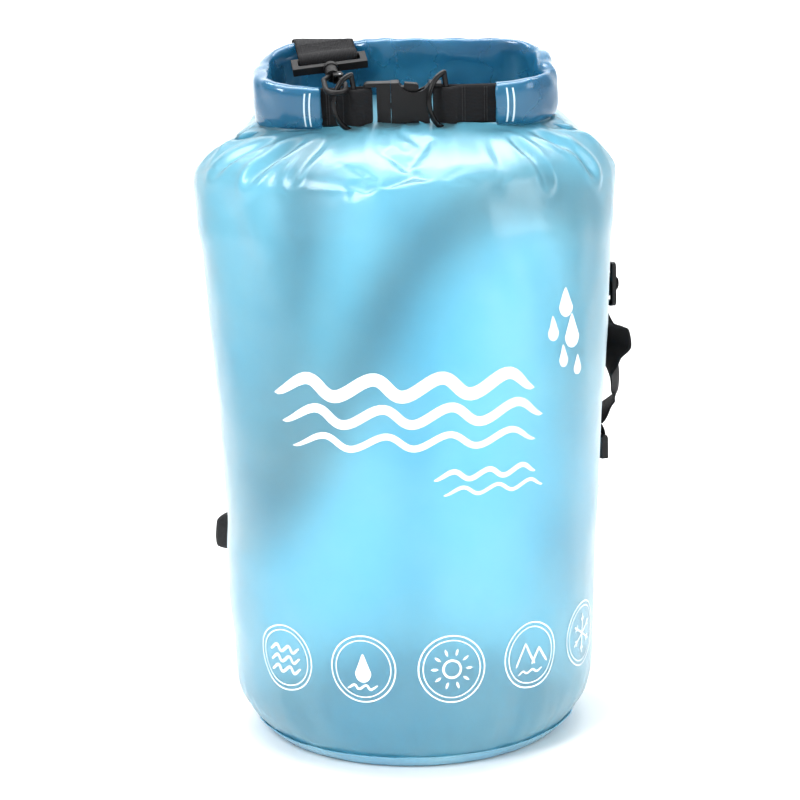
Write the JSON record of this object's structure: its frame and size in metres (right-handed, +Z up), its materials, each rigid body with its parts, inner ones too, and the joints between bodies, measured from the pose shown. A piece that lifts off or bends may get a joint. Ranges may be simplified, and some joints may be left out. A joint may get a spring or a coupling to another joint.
{
  "type": "dry bag",
  "caption": "Clear blue roll-top dry bag standing closed, its rolled mouth bent into a ring and clipped by a side-release buckle, with a shoulder strap on swivel hooks.",
  "frame": {"origin": "centre of the base, on the surface that the bag stands on", "axes": "+Z up along the bag, -Y to the front with the buckle, +X to the viewer's right"},
  "size_m": [0.2968, 0.2409, 0.4613],
  "materials": {
    "clear_film": "clear blue flexible film, satin",
    "rolled_film": "several layers of clear blue film, rolled",
    "stiffener": "translucent blue strip",
    "webbing": "woven black webbing, ribbed",
    "strap": "woven black strap",
    "plastic": "moulded black acetal, slightly glossy",
    "d_ring": "moulded black, polished",
    "pin_steel": "bright pin",
    "print": "opaque white ink",
    "stitching": "black sewing thread"
  },
  "bodies": {
    "bag": {"bag_wall": "clear_film", "base_disc": "clear_film", "base_weld_band": "clear_film", "back_seam": "clear_film", "rear_patch": "clear_film", "rear_anchor": "webbing", "shoulder_strap": "strap", "adjuster_strap": "strap"},
    "ring": {"rolled_mouth": "rolled_film", "mouth_stiffener": "stiffener", "left_webbing": "webbing", "buckle_male": "plastic"},
    "upper_prong": {"buckle_prong_upper": "plastic"},
    "lower_prong": {"buckle_prong_lower": "plastic"},
    "right_end": {"buckle_female": "plastic", "right_webbing": "webbing"},
    "left_d_ring": {"left_d_ring": "d_ring"},
    "right_d_ring": {"right_d_ring": "d_ring"},
    "top_hook": {"top_hook": "plastic", "top_hook_pin": "pin_steel"},
    "top_gate": {"top_hook_gate": "plastic"},
    "top_loop": {"top_hook_loop": "plastic"},
    "rear_d_ring": {"rear_d_ring": "d_ring"},
    "lower_hook": {"lower_hook": "plastic", "lower_hook_pin": "pin_steel"},
    "lower_gate": {"lower_hook_gate": "plastic"},
    "lower_loop": {"lower_hook_loop": "plastic"},
    "slider": {"tri_glide": "plastic"}
  },
  "joints": [
    {"name": "ring_tilt", "type": "hinge", "parent": "bag", "child": "ring", "pos_m": [0, 0.0445, 0.42], "axis": [-1, 0, 0], "range_deg": [0, 50], "deforming": ["shoulder_strap"]},
    {"name": "buckle_release", "type": "slide", "parent": "ring", "child": "right_end", "axis": [1, 0, 0], "range_m": [0, 0.026], "deforming": ["rolled_mouth", "mouth_stiffener", "buckle_prong_upper", "buckle_prong_lower"]},
    {"name": "upper_prong_squeeze", "type": "hinge", "parent": "ring", "child": "upper_prong", "pos_m": [-0.0076, -0.0454, 0.42922], "axis": [0, 0.9703, 0.2419], "range_deg": [0, 11], "stiffness_Nm_per_rad": 0.2},
    {"name": "lower_prong_squeeze", "type": "hinge", "parent": "ring", "child": "lower_prong", "pos_m": [-0.0076, -0.03998, 0.40749], "axis": [0, -0.9703, -0.2419], "range_deg": [0, 11], "stiffness_Nm_per_rad": 0.2},
    {"name": "left_d_swing", "type": "hinge", "parent": "ring", "child": "left_d_ring", "pos_m": [-0.03047, -0.04584, 0.42104], "axis": [-0.1392, -0.2396, 0.9609], "range_deg": [0, 8], "deforming": ["shoulder_strap"]},
    {"name": "right_d_swing", "type": "hinge", "parent": "right_end", "child": "right_d_ring", "pos_m": [0.02773, -0.04584, 0.42104], "axis": [-0.1392, -0.2396, 0.9609], "range_deg": [0, 118]},
    {"name": "top_hook_swing", "type": "hinge", "parent": "left_d_ring", "child": "top_hook", "pos_m": [-0.04238, -0.05456, 0.42918], "axis": [-0.3905, -0.0982, -0.9154], "range_deg": [-6, 6], "deforming": ["shoulder_strap"]},
    {"name": "top_gate_open", "type": "hinge", "parent": "top_hook", "child": "top_gate", "pos_m": [-0.04042, -0.03813, 0.43651], "axis": [-0.0391, 0.4107, -0.9109], "range_deg": [0, 18], "stiffness_Nm_per_rad": 0.02},
    {"name": "top_swivel", "type": "hinge", "parent": "top_hook", "child": "top_loop", "pos_m": [-0.04238, -0.05456, 0.42918], "axis": [-0.1252, 0.9024, 0.4122], "range_deg": [-15, 15], "deforming": ["shoulder_strap"]},
    {"name": "rear_d_swing", "type": "hinge", "parent": "bag", "child": "rear_d_ring", "pos_m": [0.11704, 0.04739, 0.124], "axis": [-0.3972, 0.9177, 0], "range_deg": [-2, 12], "deforming": ["shoulder_strap", "adjuster_strap"]},
    {"name": "lower_hook_swing", "type": "hinge", "parent": "rear_d_ring", "child": "lower_hook", "pos_m": [0.1237, 0.05028, 0.13826], "axis": [-0.3972, 0.9177, 0], "range_deg": [-1, 10], "deforming": ["shoulder_strap", "adjuster_strap"]},
    {"name": "lower_gate_open", "type": "hinge", "parent": "lower_hook", "child": "lower_gate", "pos_m": [0.12756, 0.05195, 0.15586], "axis": [-0.3972, 0.9177, 0], "range_deg": [0, 18], "stiffness_Nm_per_rad": 0.02},
    {"name": "lower_swivel", "type": "hinge", "parent": "lower_hook", "child": "lower_loop", "pos_m": [0.1237, 0.05028, 0.13826], "axis": [0, 0, 1], "range_deg": [-12, 12], "deforming": ["shoulder_strap", "adjuster_strap"]},
    {"name": "slider_slide", "type": "slide", "parent": "bag", "child": "slider", "axis": [0, 0, 1], "range_m": [-0.012, 0.012], "deforming": ["shoulder_strap", "adjuster_strap"]}
  ]
}
